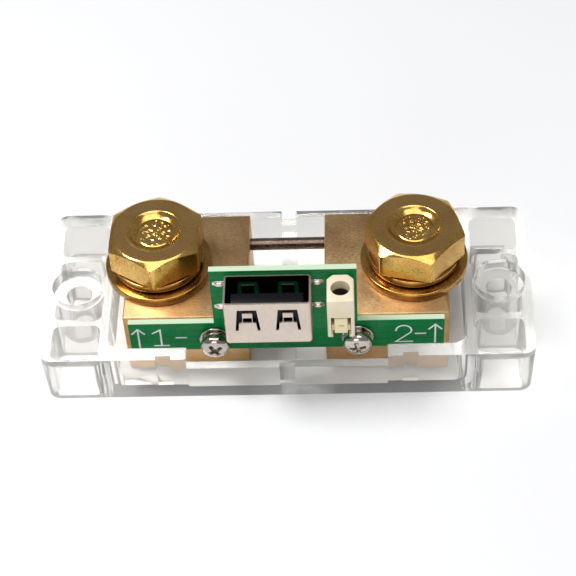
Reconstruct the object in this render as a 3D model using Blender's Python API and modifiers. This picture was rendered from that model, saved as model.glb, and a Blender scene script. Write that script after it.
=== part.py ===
"""A battery monitor's current shunt, about 78 x 34 x 25 mm.

Two brass terminal blocks, each with a hexagon bolt, are bridged by two resistance rods and sit in a
clear moulded base. A sensing board screwed to the front of the blocks carries an upright USB-A
socket for the display's lead and a push-in terminal for the battery's positive sense wire.

Metres, +Z up. The origin is the centre of the base's underside, +X runs along the base from the
battery terminal to the load terminal, and -Y is the side that the board is on.
"""

import math

import bmesh
import bpy
from mathutils import Matrix, Vector

MM = 0.001
GAP = 0.05 * MM           # play between faces that rest on each other
OVER = 0.5 * MM           # how far a cutter runs past the face that it opens

# Clear base: a deck on side walls, a deep tray for the blocks, hollow ends with a boss in each
BASE_LENGTH = 77.7 * MM
BASE_WIDTH = 31.6 * MM
BASE_HEIGHT = 9.5 * MM
BASE_CORNER = 2.2 * MM
BASE_DRAFT = 0.25 * MM    # each side leans in by this much at the underside
WALL = 1.45 * MM
DECK = 2.2 * MM
FLOOR = 1.8 * MM
TRAY_HALF = 28.3 * MM
TRAY_BACK = 12.45 * MM
TRAY_FRONT = -13.4 * MM
TRAY_CORNER = 2.5 * MM
WINDOW_HALF = 15.75 * MM
WINDOW_SILL = 7.15 * MM
BACK_NOTCH_FOOT = 7.7 * MM
DIVIDER_WIDTH = 2.4 * MM
DIVIDER_TOP = 6.0 * MM
CLIP_X = 19.3 * MM
CLIP_WIDTH = 2.4 * MM
CLIP_DEPTH = 0.75 * MM
CLIP_FOOT = 3.1 * MM
MOUNT_X = 34.0 * MM
MOUNT_HOLE = 4.2 * MM
MOUNT_RECESS = 8.2 * MM
MOUNT_RECESS_DEPTH = 2.4 * MM
BOSS_RADIUS = 4.3 * MM
BOSS_CELL = 6.3 * MM      # half the width of the hollow around the boss
RIB = 1.2 * MM

# Brass blocks
BLOCK_INNER = 6.05 * MM
BLOCK_OUTER = 25.5 * MM
BLOCK_FRONT = -10.8 * MM
BLOCK_BACK = 11.0 * MM
BLOCK_TOP = 13.7 * MM
BLOCK_EDGE = 0.25 * MM

# Resistance rods across the gap
ROD_DIAMETER = 2.0 * MM
ROD_Y = 7.3 * MM
ROD_Z = 10.7 * MM
ROD_SEAT = 3.2 * MM

# M8 terminal bolts and their washers
BOLT_X = 20.25 * MM
BOLT_DIAMETER = 8.0 * MM
BOLT_CLEARANCE = 0.05 * MM
BOLT_END = 3.0 * MM
HEAD_FLATS = 14.0 * MM
HEAD_HEIGHT = 5.3 * MM
HEAD_TOP_RADIUS = 6.8 * MM
HEAD_CHAMFER = 30.0       # degrees below the top face
HEAD_TURN = {"left": 28.0, "right": -13.0}
DISH_RADIUS = 4.3 * MM
DISH_FLOOR = 2.7 * MM
DISH_DEPTH = 0.8 * MM
FLAT_WASHER = (17.0 * MM, 8.4 * MM, 1.45 * MM)     # outside, inside, thickness
SPRING_WASHER = (14.6 * MM, 8.4 * MM, 1.2 * MM)
SPRING_RISE = 0.4 * MM
SPRING_SPLIT = {"left": -20.0, "right": -20.0}     # degrees, where the ring is cut

# Sensing board
BOARD_THICK = 1.0 * MM
BOARD_BACK = BLOCK_FRONT - GAP
BOARD_FACE = BOARD_BACK - BOARD_THICK
BOARD_HALF = 24.6 * MM
BOARD_CENTRE_HALF = 11.15 * MM
BOARD_BOTTOM = 7.2 * MM
BOARD_STRIP_TOP = 13.5 * MM
BOARD_TOP = 25.4 * MM

# M2.5 screws that hold the board and take the sense voltage from the blocks
SCREW_X = 11.1 * MM
SCREW_Z = 10.1 * MM
SCREW_DIAMETER = 2.5 * MM
SCREW_HEAD = 4.5 * MM
SCREW_HEAD_HEIGHT = 1.75 * MM
SCREW_END = -6.3 * MM
SMALL_FLAT = (5.0 * MM, 2.7 * MM, 0.5 * MM)
SMALL_SPRING = (4.2 * MM, 2.7 * MM, 0.5 * MM)
SMALL_RISE = 0.1 * MM

# Upright USB-A socket
USB_X = -2.28 * MM
USB_WIDTH = 13.15 * MM
USB_DEPTH = 5.95 * MM
USB_FOOT = 15.77 * MM
USB_RIM = 24.5 * MM
USB_SHEET = 0.3 * MM
USB_CORNER = 0.6 * MM
USB_LEAF_X = 3.05 * MM
TONGUE_HALF = 5.55 * MM
TONGUE_THICK = 2.1 * MM
TONGUE_STANDOFF = 0.52 * MM
TONGUE_TOP = 23.9 * MM
INSULATOR_TOP = 18.0 * MM
CONTACT_X = (-3.5 * MM, -1.0 * MM, 1.0 * MM, 3.5 * MM)
CONTACT_WIDTH = 1.0 * MM
CONTACT_SHEET = 0.25 * MM
LEG_Z = (17.4 * MM, 22.6 * MM)
LEG_WIDTH = 1.2 * MM

# Push-in terminal for the sense wire
LEAD_X = 8.67 * MM
LEAD_WIDTH = 4.1 * MM
LEAD_DEPTH = 5.45 * MM
LEAD_FOOT = 16.0 * MM
LEAD_TOP = 24.3 * MM
LEAD_WALL = 0.55 * MM
LEAD_CHAMFER = 0.9 * MM
WIRE_HOLE = 2.9 * MM
WIRE_Y = -14.7 * MM
TAB_SLOT_TOP = 20.5 * MM
TAB_WIDTH = 2.0 * MM
TAB_TOP = 20.2 * MM
TAB_FOOT = 16.9 * MM
TAB_TRAVEL = 0.7 * MM

# M3 countersunk screws from below into the blocks
BASE_SCREW_X = 12.0 * MM
BASE_SCREW_DIAMETER = 3.0 * MM
BASE_SCREW_HEAD = 5.6 * MM
BASE_SCREW_END = 8.0 * MM

# Colour, roughness, metallic and, where it is clear, alpha
FINISHES = {
    "clear_plastic": ((0.86, 0.88, 0.88), 0.08, 0.0, 0.3),
    "sanded_brass": ((0.44, 0.23, 0.09), 0.45, 1.0, 1.0),
    "bright_brass": ((0.66, 0.39, 0.11), 0.25, 1.0, 1.0),
    "washer_brass": ((0.50, 0.27, 0.09), 0.30, 1.0, 1.0),
    "manganin": ((0.10, 0.07, 0.05), 0.40, 1.0, 1.0),
    "board_green": ((0.01, 0.20, 0.06), 0.35, 0.0, 1.0),
    "nickel_shell": ((0.66, 0.60, 0.55), 0.30, 1.0, 1.0),
    "nickel_screw": ((0.62, 0.60, 0.57), 0.20, 1.0, 1.0),
    "black_nylon": ((0.012, 0.012, 0.016), 0.45, 0.0, 1.0),
    "gold_contact": ((0.80, 0.55, 0.20), 0.25, 1.0, 1.0),
    "cream_nylon": ((0.80, 0.72, 0.55), 0.45, 0.0, 1.0),
    "tinned_spring": ((0.60, 0.60, 0.60), 0.30, 1.0, 1.0),
    "chip_epoxy": ((0.015, 0.015, 0.017), 0.50, 0.0, 1.0),
    "ceramic_tan": ((0.45, 0.30, 0.17), 0.45, 0.0, 1.0),
}


def clear_scene():
    """Remove whatever the startup scene holds."""
    for obj in list(bpy.data.objects):
        bpy.data.objects.remove(obj, do_unlink=True)


def new_collection(name):
    """A collection in the scene for one set of objects."""
    collection = bpy.data.collections.new(name)
    bpy.context.scene.collection.children.link(collection)
    return collection


def make_materials():
    """One Principled material for each finish."""
    made = {}
    for name, (colour, roughness, metallic, alpha) in FINISHES.items():
        material = bpy.data.materials.new(name)
        material.use_nodes = True
        shader = material.node_tree.nodes["Principled BSDF"]
        shader.inputs["Base Color"].default_value = (*colour, 1.0)
        shader.inputs["Roughness"].default_value = roughness
        shader.inputs["Metallic"].default_value = metallic
        shader.inputs["Alpha"].default_value = alpha
        material.diffuse_color = (*colour, alpha)
        made[name] = material
    return made


clear_scene()
PART = new_collection("battery_monitor_shunt")
HELPERS = new_collection("helpers")
MATERIALS = make_materials()


def place(name, mesh, finish=None, location=(0.0, 0.0, 0.0), rotation=(0.0, 0.0, 0.0)):
    """Put a mesh into the scene: a part when it has a finish, otherwise a hidden helper."""
    obj = bpy.data.objects.new(name, mesh)
    obj.location = location
    obj.rotation_euler = rotation
    if finish is None:
        HELPERS.objects.link(obj)
        obj.hide_render = True
        obj.display_type = "WIRE"
    else:
        PART.objects.link(obj)
        mesh.materials.append(MATERIALS[finish])
    return obj


def mesh_from(name, bm):
    """Turn a bmesh into a mesh that is shaded smooth between its sharp edges."""
    mesh = bpy.data.meshes.new(name)
    bm.to_mesh(mesh)
    bm.free()
    mesh.shade_smooth()
    mesh.set_sharp_from_angle(angle=math.radians(35.0))
    return mesh


def box(name, low, high, finish=None, corner=0.0, segments=6):
    """A box between two corners, with its upright edges rounded by the corner radius."""
    low = Vector(low)
    high = Vector(high)
    size = high - low
    bm = bmesh.new()
    bmesh.ops.create_cube(bm, size=1.0)
    bmesh.ops.scale(bm, vec=size, verts=bm.verts)
    if corner > 0.0:
        upright = [edge for edge in bm.edges if abs(edge.verts[0].co.z - edge.verts[1].co.z) > size.z / 2]
        bmesh.ops.bevel(bm, geom=upright, offset=corner, segments=segments, affect="EDGES", profile=0.5)
    return place(name, mesh_from(name, bm), finish, location=(low + high) / 2)


def cylinder(name, start, end, radius, finish=None, end_radius=None, segments=32):
    """A capped cylinder or cone from one point to another."""
    start = Vector(start)
    end = Vector(end)
    length = (end - start).length
    bm = bmesh.new()
    bmesh.ops.create_cone(
        bm,
        cap_ends=True,
        segments=segments,
        radius1=radius,
        radius2=radius if end_radius is None else end_radius,
        depth=length,
    )
    turn = Vector((0.0, 0.0, 1.0)).rotation_difference(end - start).to_matrix()
    bmesh.ops.rotate(bm, matrix=turn, verts=bm.verts)
    return place(name, mesh_from(name, bm), finish, location=(start + end) / 2)


def turned(name, profile, finish=None, location=(0.0, 0.0, 0.0), steps=48, closed=False):
    """A turned shape: (radius, height) points run from the top, down the outside, to the bottom."""
    count = len(profile)
    mesh = bpy.data.meshes.new(name)
    points = [(radius, 0.0, height) for radius, height in profile]
    edges = [(i, (i + 1) % count) for i in range(count if closed else count - 1)]
    mesh.from_pydata(points, edges, [])
    obj = place(name, mesh, finish, location=location)
    screw = obj.modifiers.new("Turn", "SCREW")
    screw.steps = steps
    screw.render_steps = steps
    screw.use_merge_vertices = True
    screw.merge_threshold = 1e-6
    screw.use_smooth_shade = False
    return obj


def outline(name, points, thickness, normal, centre, finish=None):
    """A flat outline made solid. Its points are (x, z) for normal Y, (y, z) for X and (x, y) for Z."""
    curve = bpy.data.curves.new(name, "CURVE")
    curve.dimensions = "2D"
    curve.fill_mode = "BOTH"
    curve.extrude = thickness / 2
    spline = curve.splines.new("POLY")
    spline.points.add(len(points) - 1)
    for point, (across, up) in zip(spline.points, points):
        point.co = (across, up, 0.0, 1.0)
    spline.use_cyclic_u = True
    flat = bpy.data.objects.new(name + "_curve", curve)
    HELPERS.objects.link(flat)
    graph = bpy.context.evaluated_depsgraph_get()
    mesh = bpy.data.meshes.new_from_object(flat.evaluated_get(graph))
    bpy.data.objects.remove(flat, do_unlink=True)
    stand = Matrix.Rotation(math.radians(90.0), 3, "X")
    if normal == "Z":
        stand = Matrix.Identity(3)
    if normal == "X":
        stand = Matrix.Rotation(math.radians(90.0), 3, "Z") @ stand
    bm = bmesh.new()
    bm.from_mesh(mesh)
    bmesh.ops.remove_doubles(bm, verts=bm.verts, dist=1e-7)
    bmesh.ops.rotate(bm, matrix=stand, verts=bm.verts)
    bmesh.ops.recalc_face_normals(bm, faces=bm.faces)
    bpy.data.meshes.remove(mesh)
    return place(name, mesh_from(name, bm), finish, location=centre)


def split_ring(name, size, rise, split, finish, location, rotation=(0.0, 0.0, 0.0), steps=36):
    """A spring washer: a flat section carried round an open helix that climbs by the rise."""
    outside, inside, thickness = size
    open_angle = math.radians(14.0)
    start = math.radians(split) + open_angle / 2
    turn = 2.0 * math.pi - open_angle
    bm = bmesh.new()
    section = [(inside / 2, 0.0), (outside / 2, 0.0), (outside / 2, thickness), (inside / 2, thickness)]
    corners = [bm.verts.new((r * math.cos(start), r * math.sin(start), z)) for r, z in section]
    face = bm.faces.new(corners)
    bmesh.ops.spin(
        bm,
        geom=[face] + list(face.edges) + list(face.verts),
        cent=(0.0, 0.0, 0.0),
        axis=(0.0, 0.0, 1.0),
        dvec=(0.0, 0.0, rise / steps),
        angle=turn,
        steps=steps,
        use_merge=False,
        use_duplicate=False,
    )
    bmesh.ops.recalc_face_normals(bm, faces=bm.faces)
    return place(name, mesh_from(name, bm), finish, location=location, rotation=rotation)


def cut(obj, *tools):
    """Take helpers away from an object."""
    combine(obj, "DIFFERENCE", tools)


def join(obj, *tools):
    """Add helpers to an object as one body."""
    combine(obj, "UNION", tools)


def combine(obj, operation, tools):
    """One exact Boolean for each helper, in order."""
    for tool in tools:
        modifier = obj.modifiers.new(operation.title(), "BOOLEAN")
        modifier.operation = operation
        modifier.solver = "EXACT"
        modifier.object = tool


def bevel(obj, width, segments=2, angle=40.0):
    """Break an object's sharp edges."""
    modifier = obj.modifiers.new("Bevel", "BEVEL")
    modifier.width = width
    modifier.segments = segments
    modifier.limit_method = "ANGLE"
    modifier.angle_limit = math.radians(angle)
    modifier.use_clamp_overlap = True


def make_base():
    """The clear base, moulded in one piece."""
    half_length = BASE_LENGTH / 2
    half_width = BASE_WIDTH / 2
    base = box(
        "base_tray",
        (-half_length, -half_width, 0.0),
        (half_length, half_width, BASE_HEIGHT),
        "clear_plastic",
        corner=BASE_CORNER,
        segments=8,
    )
    for vertex in base.data.vertices:
        if vertex.co.z < 0.0:
            vertex.co.x *= 1.0 - BASE_DRAFT / half_length
            vertex.co.y *= 1.0 - BASE_DRAFT / half_width
    inner_front = WALL - half_width
    inner_back = half_width - WALL
    cut(
        base,
        box(
            "tray_cut",
            (-TRAY_HALF, TRAY_FRONT, FLOOR),
            (TRAY_HALF, TRAY_BACK, BASE_HEIGHT + OVER),
            corner=TRAY_CORNER,
        ),
        box(
            "window_cut",
            (-WINDOW_HALF, inner_front, FLOOR),
            (WINDOW_HALF, inner_back, BASE_HEIGHT + OVER),
        ),
        box(
            "sill_cut",
            (-WINDOW_HALF, -half_width - OVER, WINDOW_SILL),
            (WINDOW_HALF, TRAY_FRONT + OVER, BASE_HEIGHT + OVER),
        ),
    )
    join(
        base,
        box(
            "divider",
            (-DIVIDER_WIDTH / 2, inner_front - OVER, FLOOR - OVER),
            (DIVIDER_WIDTH / 2, inner_back + OVER, DIVIDER_TOP),
        ),
    )
    for side in (-1, 1):
        cut_base_end(base, side)
    cut(
        base,
        box(
            "back_notch",
            (-DIVIDER_WIDTH / 2, inner_back - OVER, BACK_NOTCH_FOOT),
            (DIVIDER_WIDTH / 2, half_width + OVER, BASE_HEIGHT + OVER),
        ),
        box(
            "front_notch",
            (-DIVIDER_WIDTH / 2, -half_width - OVER, CLIP_FOOT),
            (DIVIDER_WIDTH / 2, CLIP_DEPTH - half_width, WINDOW_SILL + OVER),
        ),
    )


def cut_base_end(base, side):
    """Hollow one end of the base around its screw boss, and cut the cover's clip groove there."""
    inner = side * (TRAY_HALF + WALL)
    outer = side * (BASE_LENGTH / 2 - WALL)
    low_x = min(inner, outer)
    high_x = max(inner, outer)
    under_deck = BASE_HEIGHT - DECK
    edge = BASE_WIDTH / 2 - WALL
    cells = ((-edge, -BOSS_CELL - RIB), (-BOSS_CELL, BOSS_CELL), (BOSS_CELL + RIB, edge))
    for index, (low_y, high_y) in enumerate(cells):
        cell = box(
            f"end_cell_{side}_{index}",
            (low_x, low_y, -OVER),
            (high_x, high_y, under_deck),
            corner=1.2 * MM,
            segments=4,
        )
        cut(base, cell)
    centre = side * MOUNT_X
    boss = cylinder(f"boss_{side}", (centre, 0.0, 0.0), (centre, 0.0, under_deck + OVER), BOSS_RADIUS)
    join(base, boss)
    half_width = BASE_WIDTH / 2
    clip = side * CLIP_X
    screw = side * BASE_SCREW_X
    shank = BASE_SCREW_DIAMETER / 2 + BOLT_CLEARANCE
    sink = BASE_SCREW_HEAD / 2 + 2 * BOLT_CLEARANCE
    mouth = 0.25 * MM
    cut(
        base,
        cylinder(
            f"mount_hole_{side}",
            (centre, 0.0, -OVER),
            (centre, 0.0, BASE_HEIGHT + OVER),
            MOUNT_HOLE / 2,
        ),
        cylinder(
            f"mount_recess_{side}",
            (centre, 0.0, BASE_HEIGHT - MOUNT_RECESS_DEPTH),
            (centre, 0.0, BASE_HEIGHT + OVER),
            MOUNT_RECESS / 2,
            segments=48,
        ),
        box(
            f"clip_groove_{side}",
            (clip - CLIP_WIDTH / 2, -half_width - OVER, CLIP_FOOT),
            (clip + CLIP_WIDTH / 2, CLIP_DEPTH - half_width, BASE_HEIGHT + OVER),
        ),
        cylinder(
            f"base_screw_hole_{side}",
            (screw, 0.0, -OVER),
            (screw, 0.0, FLOOR + OVER),
            shank,
        ),
        turned(
            f"base_screw_sink_{side}",
            [
                (0.0, mouth + sink - shank),
                (shank, mouth + sink - shank),
                (sink, mouth),
                (sink, -OVER),
                (0.0, -OVER),
            ],
            location=(screw, 0.0, 0.0),
        ),
    )


def make_blocks():
    """The two brass blocks, drilled for the bolt, the rods, the board screw and the base screw."""
    for side, name in ((-1, "left"), (1, "right")):
        low_x = min(side * BLOCK_INNER, side * BLOCK_OUTER)
        high_x = max(side * BLOCK_INNER, side * BLOCK_OUTER)
        block = box(
            f"{name}_terminal_block",
            (low_x, BLOCK_FRONT, FLOOR + GAP),
            (high_x, BLOCK_BACK, BLOCK_TOP),
            "sanded_brass",
        )
        bevel(block, BLOCK_EDGE)
        cut(
            block,
            cylinder(
                f"{name}_bolt_hole",
                (side * BOLT_X, 0.0, 0.0),
                (side * BOLT_X, 0.0, BLOCK_TOP + OVER),
                BOLT_DIAMETER / 2 + BOLT_CLEARANCE,
                segments=48,
            ),
            cylinder(
                f"{name}_board_screw_hole",
                (side * SCREW_X, BLOCK_FRONT - OVER, SCREW_Z),
                (side * SCREW_X, SCREW_END + OVER, SCREW_Z),
                SCREW_DIAMETER / 2 + BOLT_CLEARANCE,
                segments=24,
            ),
            cylinder(
                f"{name}_base_screw_hole",
                (side * BASE_SCREW_X, 0.0, 0.0),
                (side * BASE_SCREW_X, 0.0, BASE_SCREW_END + OVER),
                BASE_SCREW_DIAMETER / 2 + BOLT_CLEARANCE,
                segments=24,
            ),
        )
        for row in (-1, 1):
            seat = cylinder(
                f"{name}_rod_seat_{row}",
                (side * (BLOCK_INNER - OVER), row * ROD_Y, ROD_Z),
                (side * (BLOCK_INNER + ROD_SEAT + GAP), row * ROD_Y, ROD_Z),
                ROD_DIAMETER / 2 + GAP,
                segments=24,
            )
            cut(block, seat)


def make_rods():
    """The resistance rods that bridge the two blocks, brazed into their seats."""
    reach = BLOCK_INNER + ROD_SEAT
    for name, y in (("front", -ROD_Y), ("rear", ROD_Y)):
        cylinder(
            f"{name}_resistance_rod",
            (-reach, y, ROD_Z),
            (reach, y, ROD_Z),
            ROD_DIAMETER / 2,
            "manganin",
            segments=24,
        )


def make_bolt(name, x):
    """An M8 hexagon bolt with a chamfered head that is dished on top."""
    washers = FLAT_WASHER[2] + SPRING_WASHER[2] + SPRING_RISE + 3 * GAP
    seat = BLOCK_TOP + washers
    corner = HEAD_FLATS / math.sqrt(3.0)
    wide = corner + OVER
    drop = (wide - HEAD_TOP_RADIUS) * math.tan(math.radians(HEAD_CHAMFER))
    radius = BOLT_DIAMETER / 2
    dish = [(DISH_FLOOR * 0.5, 0.97), (DISH_FLOOR, 0.92), (DISH_FLOOR + 0.5 * MM, 0.62)]
    profile = [(0.0, HEAD_HEIGHT - DISH_DEPTH)]
    profile += [(r, HEAD_HEIGHT - DISH_DEPTH * part) for r, part in dish]
    profile += [
        (DISH_RADIUS - 0.3 * MM, HEAD_HEIGHT - 0.1 * MM),
        (DISH_RADIUS, HEAD_HEIGHT),
        (HEAD_TOP_RADIUS, HEAD_HEIGHT),
        (wide, HEAD_HEIGHT - drop),
        (wide, 0.25 * MM),
        (HEAD_FLATS / 2 - 0.2 * MM, 0.25 * MM),
        (HEAD_FLATS / 2 - 0.2 * MM, 0.0),
        (0.0, 0.0),
    ]
    head = turned(f"{name}_terminal_bolt", profile, "bright_brass", location=(x, 0.0, seat), steps=48)
    bm = bmesh.new()
    bmesh.ops.create_cone(
        bm, cap_ends=True, segments=6, radius1=corner, radius2=corner, depth=3.0 * HEAD_HEIGHT
    )
    hexagon = place(f"{name}_hexagon", mesh_from("hexagon", bm), location=(x, 0.0, seat))
    hexagon.rotation_euler.z = math.radians(HEAD_TURN[name])
    combine(head, "INTERSECT", [hexagon])
    end = BOLT_END - seat
    shank = turned(
        f"{name}_shank",
        [
            (0.0, OVER),
            (radius, OVER),
            (radius, end + 1.0 * MM),
            (radius - 0.8 * MM, end),
            (0.0, end),
        ],
        location=(x, 0.0, seat),
        steps=32,
    )
    join(head, shank)


def ring(name, size, finish, location, steps=48, rotation=(0.0, 0.0, 0.0)):
    """A flat washer standing on its location."""
    outside, inside, thickness = size
    edge = min(0.15 * MM, thickness / 4)
    washer = turned(
        name,
        [
            (inside / 2, thickness),
            (outside / 2 - edge, thickness),
            (outside / 2, thickness - edge),
            (outside / 2, 0.0),
            (inside / 2, 0.0),
        ],
        finish,
        location=location,
        steps=steps,
        closed=True,
    )
    washer.rotation_euler = rotation
    return washer


def make_terminals():
    """Each terminal's bolt, spring washer and flat washer."""
    for side, name in ((-1, "left"), (1, "right")):
        x = side * BOLT_X
        flat_z = BLOCK_TOP + GAP
        spring_z = flat_z + FLAT_WASHER[2] + GAP
        ring(f"{name}_flat_washer", FLAT_WASHER, "washer_brass", (x, 0.0, flat_z))
        split_ring(
            f"{name}_spring_washer",
            SPRING_WASHER,
            SPRING_RISE,
            SPRING_SPLIT[name],
            "washer_brass",
            (x, 0.0, spring_z),
        )
        make_bolt(name, x)


def make_board():
    """The sensing board: a tall centre between two low strips, one in front of each block."""
    side = [
        (BOARD_CENTRE_HALF, BOARD_TOP),
        (BOARD_CENTRE_HALF, BOARD_STRIP_TOP),
        (BOARD_HALF, BOARD_STRIP_TOP),
        (BOARD_HALF, BOARD_BOTTOM),
    ]
    points = side + [(-x, z) for x, z in reversed(side)]
    middle = (BOARD_FACE + BOARD_BACK) / 2
    board = outline("circuit_board", points, BOARD_THICK, "Y", (0.0, middle, 0.0), "board_green")
    front = BOARD_FACE - OVER
    back = BOARD_BACK + OVER
    for x in (-SCREW_X, SCREW_X):
        hole = cylinder(
            f"board_hole_{x > 0}",
            (x, front, SCREW_Z),
            (x, back, SCREW_Z),
            SCREW_DIAMETER / 2 + 0.1 * MM,
            segments=24,
        )
        cut(board, hole)
    slack = 0.15 * MM
    for side_sign in (-1, 1):
        x = USB_X + side_sign * (USB_WIDTH / 2 - USB_SHEET / 2)
        for index, z in enumerate(LEG_Z):
            slot = box(
                f"leg_slot_{side_sign}_{index}",
                (x - USB_SHEET / 2 - slack, front, z - LEG_WIDTH / 2 - slack),
                (x + USB_SHEET / 2 + slack, back, z + LEG_WIDTH / 2 + slack),
            )
            cut(board, slot)
    pin_low, pin_high = lead_pin_corners()
    cut(
        board,
        box(
            "pin_slot",
            (pin_low[0] - slack, front, pin_low[2] - slack),
            (pin_high[0] + slack, back, pin_high[2] + slack),
        ),
    )


def make_board_screws():
    """The two cross-slotted pan head screws of the board, each with a spring and a flat washer."""
    forward = (math.radians(90.0), 0.0, 0.0)
    for side, name in ((-1, "left"), (1, "right")):
        x = side * SCREW_X
        flat_y = BOARD_FACE - GAP
        spring_y = flat_y - SMALL_FLAT[2] - GAP
        seat_y = spring_y - SMALL_SPRING[2] - SMALL_RISE - GAP
        ring(
            f"{name}_board_flat_washer",
            SMALL_FLAT,
            "nickel_screw",
            (x, flat_y, SCREW_Z),
            steps=32,
            rotation=forward,
        )
        split_ring(
            f"{name}_board_spring_washer",
            SMALL_SPRING,
            SMALL_RISE,
            65.0,
            "nickel_screw",
            (x, spring_y, SCREW_Z),
            rotation=forward,
            steps=24,
        )
        radius = SCREW_HEAD / 2
        height = SCREW_HEAD_HEIGHT
        shank = SCREW_DIAMETER / 2
        end = seat_y - SCREW_END
        dome = [(radius * math.sin(a), a) for a in [math.radians(15.0 * i) for i in range(1, 6)]]
        profile = [(0.0, height)]
        profile += [(r, height * (0.5 + 0.5 * math.cos(a))) for r, a in dome]
        profile += [
            (radius, 0.35 * height),
            (radius - 0.1 * MM, 0.0),
            (shank, 0.0),
            (shank, end + 0.4 * MM),
            (shank - 0.4 * MM, end),
            (0.0, end),
        ]
        screw = turned(
            f"{name}_board_screw", profile, "nickel_screw", location=(x, seat_y, SCREW_Z), steps=32
        )
        screw.rotation_euler = forward
        arm = 1.3 * MM
        slot = 0.32 * MM
        deep = seat_y - 0.8 * MM
        out = seat_y - height - OVER
        tilt = math.radians(35.0 if side < 0 else 10.0)
        for index in range(2):
            blade = box(f"{name}_cross_{index}", (x - arm, out, SCREW_Z - slot), (x + arm, deep, SCREW_Z + slot))
            blade.rotation_euler.y = tilt + index * math.radians(90.0)
            cut(screw, blade)


def leaf_window(name, x, y):
    """The arched slot that frees one spring leaf of the socket's shell."""
    top = USB_RIM - 1.35 * MM
    low = top - 4.6 * MM
    knee = top - 2.9 * MM
    leg = 0.45 * MM
    wide_top = 1.45 * MM
    wide_low = 1.9 * MM
    wide_knee = wide_top + (wide_low - wide_top) * (top - knee) / (top - low)
    half = [(wide_top, top), (wide_low, low), (wide_low - leg, low), (wide_knee - leg, knee)]
    points = half + [(-px, pz) for px, pz in reversed(half)]
    return outline(name, points, 4 * USB_SHEET, "Y", (x, y, 0.0))


def leaf(name, x, y, inward):
    """A spring leaf: it leans into the socket from its root and its tip flares back out."""
    top = USB_RIM - 1.35 * MM
    sheet = USB_SHEET * 0.8
    path = [(0.0, top - 3.1 * MM), (0.45 * MM, top - 1.3 * MM), (0.15 * MM, top - 0.55 * MM)]
    outer = [(inward * push - sheet / 2, z) for push, z in path]
    inner = [(inward * push + sheet / 2, z) for push, z in reversed(path)]
    points = outer + inner
    return outline(name, points, 2.0 * MM, "X", (x, y, 0.0))


def make_usb_socket():
    """The folded steel shell, the moulded insulator with its tongue, and four spring contacts."""
    low_x = USB_X - USB_WIDTH / 2
    high_x = USB_X + USB_WIDTH / 2
    back = BOARD_FACE - GAP
    front = back - USB_DEPTH
    shell = box(
        "usb_shell", (low_x, front, USB_FOOT), (high_x, back, USB_RIM), "nickel_shell", corner=USB_CORNER, segments=4
    )
    inside_low = (low_x + USB_SHEET, front + USB_SHEET, USB_FOOT - OVER)
    inside_high = (high_x - USB_SHEET, back - USB_SHEET, USB_RIM + OVER)
    cut(shell, box("shell_inside", inside_low, inside_high, corner=USB_CORNER - USB_SHEET, segments=4))
    for index, offset in enumerate((-USB_LEAF_X, USB_LEAF_X)):
        for wall, y, inward in (("front", front + USB_SHEET / 2, 1), ("back", back - USB_SHEET / 2, -1)):
            cut(shell, leaf_window(f"{wall}_window_{index}", USB_X + offset, y))
            join(shell, leaf(f"{wall}_leaf_{index}", USB_X + offset, y, inward))
    for side in (-1, 1):
        x = USB_X + side * (USB_WIDTH / 2 - USB_SHEET / 2)
        for index, z in enumerate(LEG_Z):
            leg = box(
                f"leg_{side}_{index}",
                (x - USB_SHEET / 2, back - 1.5 * MM, z - LEG_WIDTH / 2),
                (x + USB_SHEET / 2, BOARD_BACK + 0.6 * MM, z + LEG_WIDTH / 2),
            )
            join(shell, leg)
    make_usb_inside(inside_low, inside_high)


def make_usb_inside(low, high):
    """The insulator fills the foot of the shell and carries the tongue close to the front wall."""
    play = 0.06 * MM
    insulator = box(
        "usb_insulator",
        (low[0] + play, low[1] + play, USB_FOOT + 0.2 * MM),
        (high[0] - play, high[1] - play, INSULATOR_TOP),
        "black_nylon",
        corner=USB_CORNER - USB_SHEET,
        segments=3,
    )
    tongue_front = low[1] + TONGUE_STANDOFF
    tongue_back = tongue_front + TONGUE_THICK
    tongue = box(
        "tongue",
        (USB_X - TONGUE_HALF, tongue_front, INSULATOR_TOP - OVER),
        (USB_X + TONGUE_HALF, tongue_back, TONGUE_TOP),
    )
    bevel(tongue, 0.25 * MM)
    join(insulator, tongue)
    strip_front = tongue_back + GAP
    strip_back = strip_front + CONTACT_SHEET
    foot = USB_FOOT - 0.6 * MM
    board_end = BOARD_FACE - GAP
    for index, offset in enumerate(CONTACT_X):
        x = USB_X + offset
        slot = box(
            f"contact_slot_{index}",
            (x - CONTACT_WIDTH / 2 - GAP, strip_front - GAP, USB_FOOT),
            (x + CONTACT_WIDTH / 2 + GAP, strip_back + GAP, INSULATOR_TOP + OVER),
        )
        cut(insulator, slot)
        points = [
            (strip_front, TONGUE_TOP - 1.0 * MM),
            (strip_back, TONGUE_TOP - 1.0 * MM),
            (strip_back, foot + CONTACT_SHEET),
            (board_end, foot + CONTACT_SHEET),
            (board_end, foot),
            (strip_front, foot),
        ]
        outline(f"usb_contact_{index + 1}", points, CONTACT_WIDTH, "X", (x, 0.0, 0.0), "gold_contact")


def lead_pin_corners():
    """Low and high corners of the push-in terminal's solder pin."""
    low = (LEAD_X - 0.5 * MM, BOARD_FACE - 1.1 * MM, LEAD_FOOT + 0.9 * MM)
    high = (LEAD_X + 0.5 * MM, BOARD_BACK + 0.7 * MM, LEAD_FOOT + 1.5 * MM)
    return low, high


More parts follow.
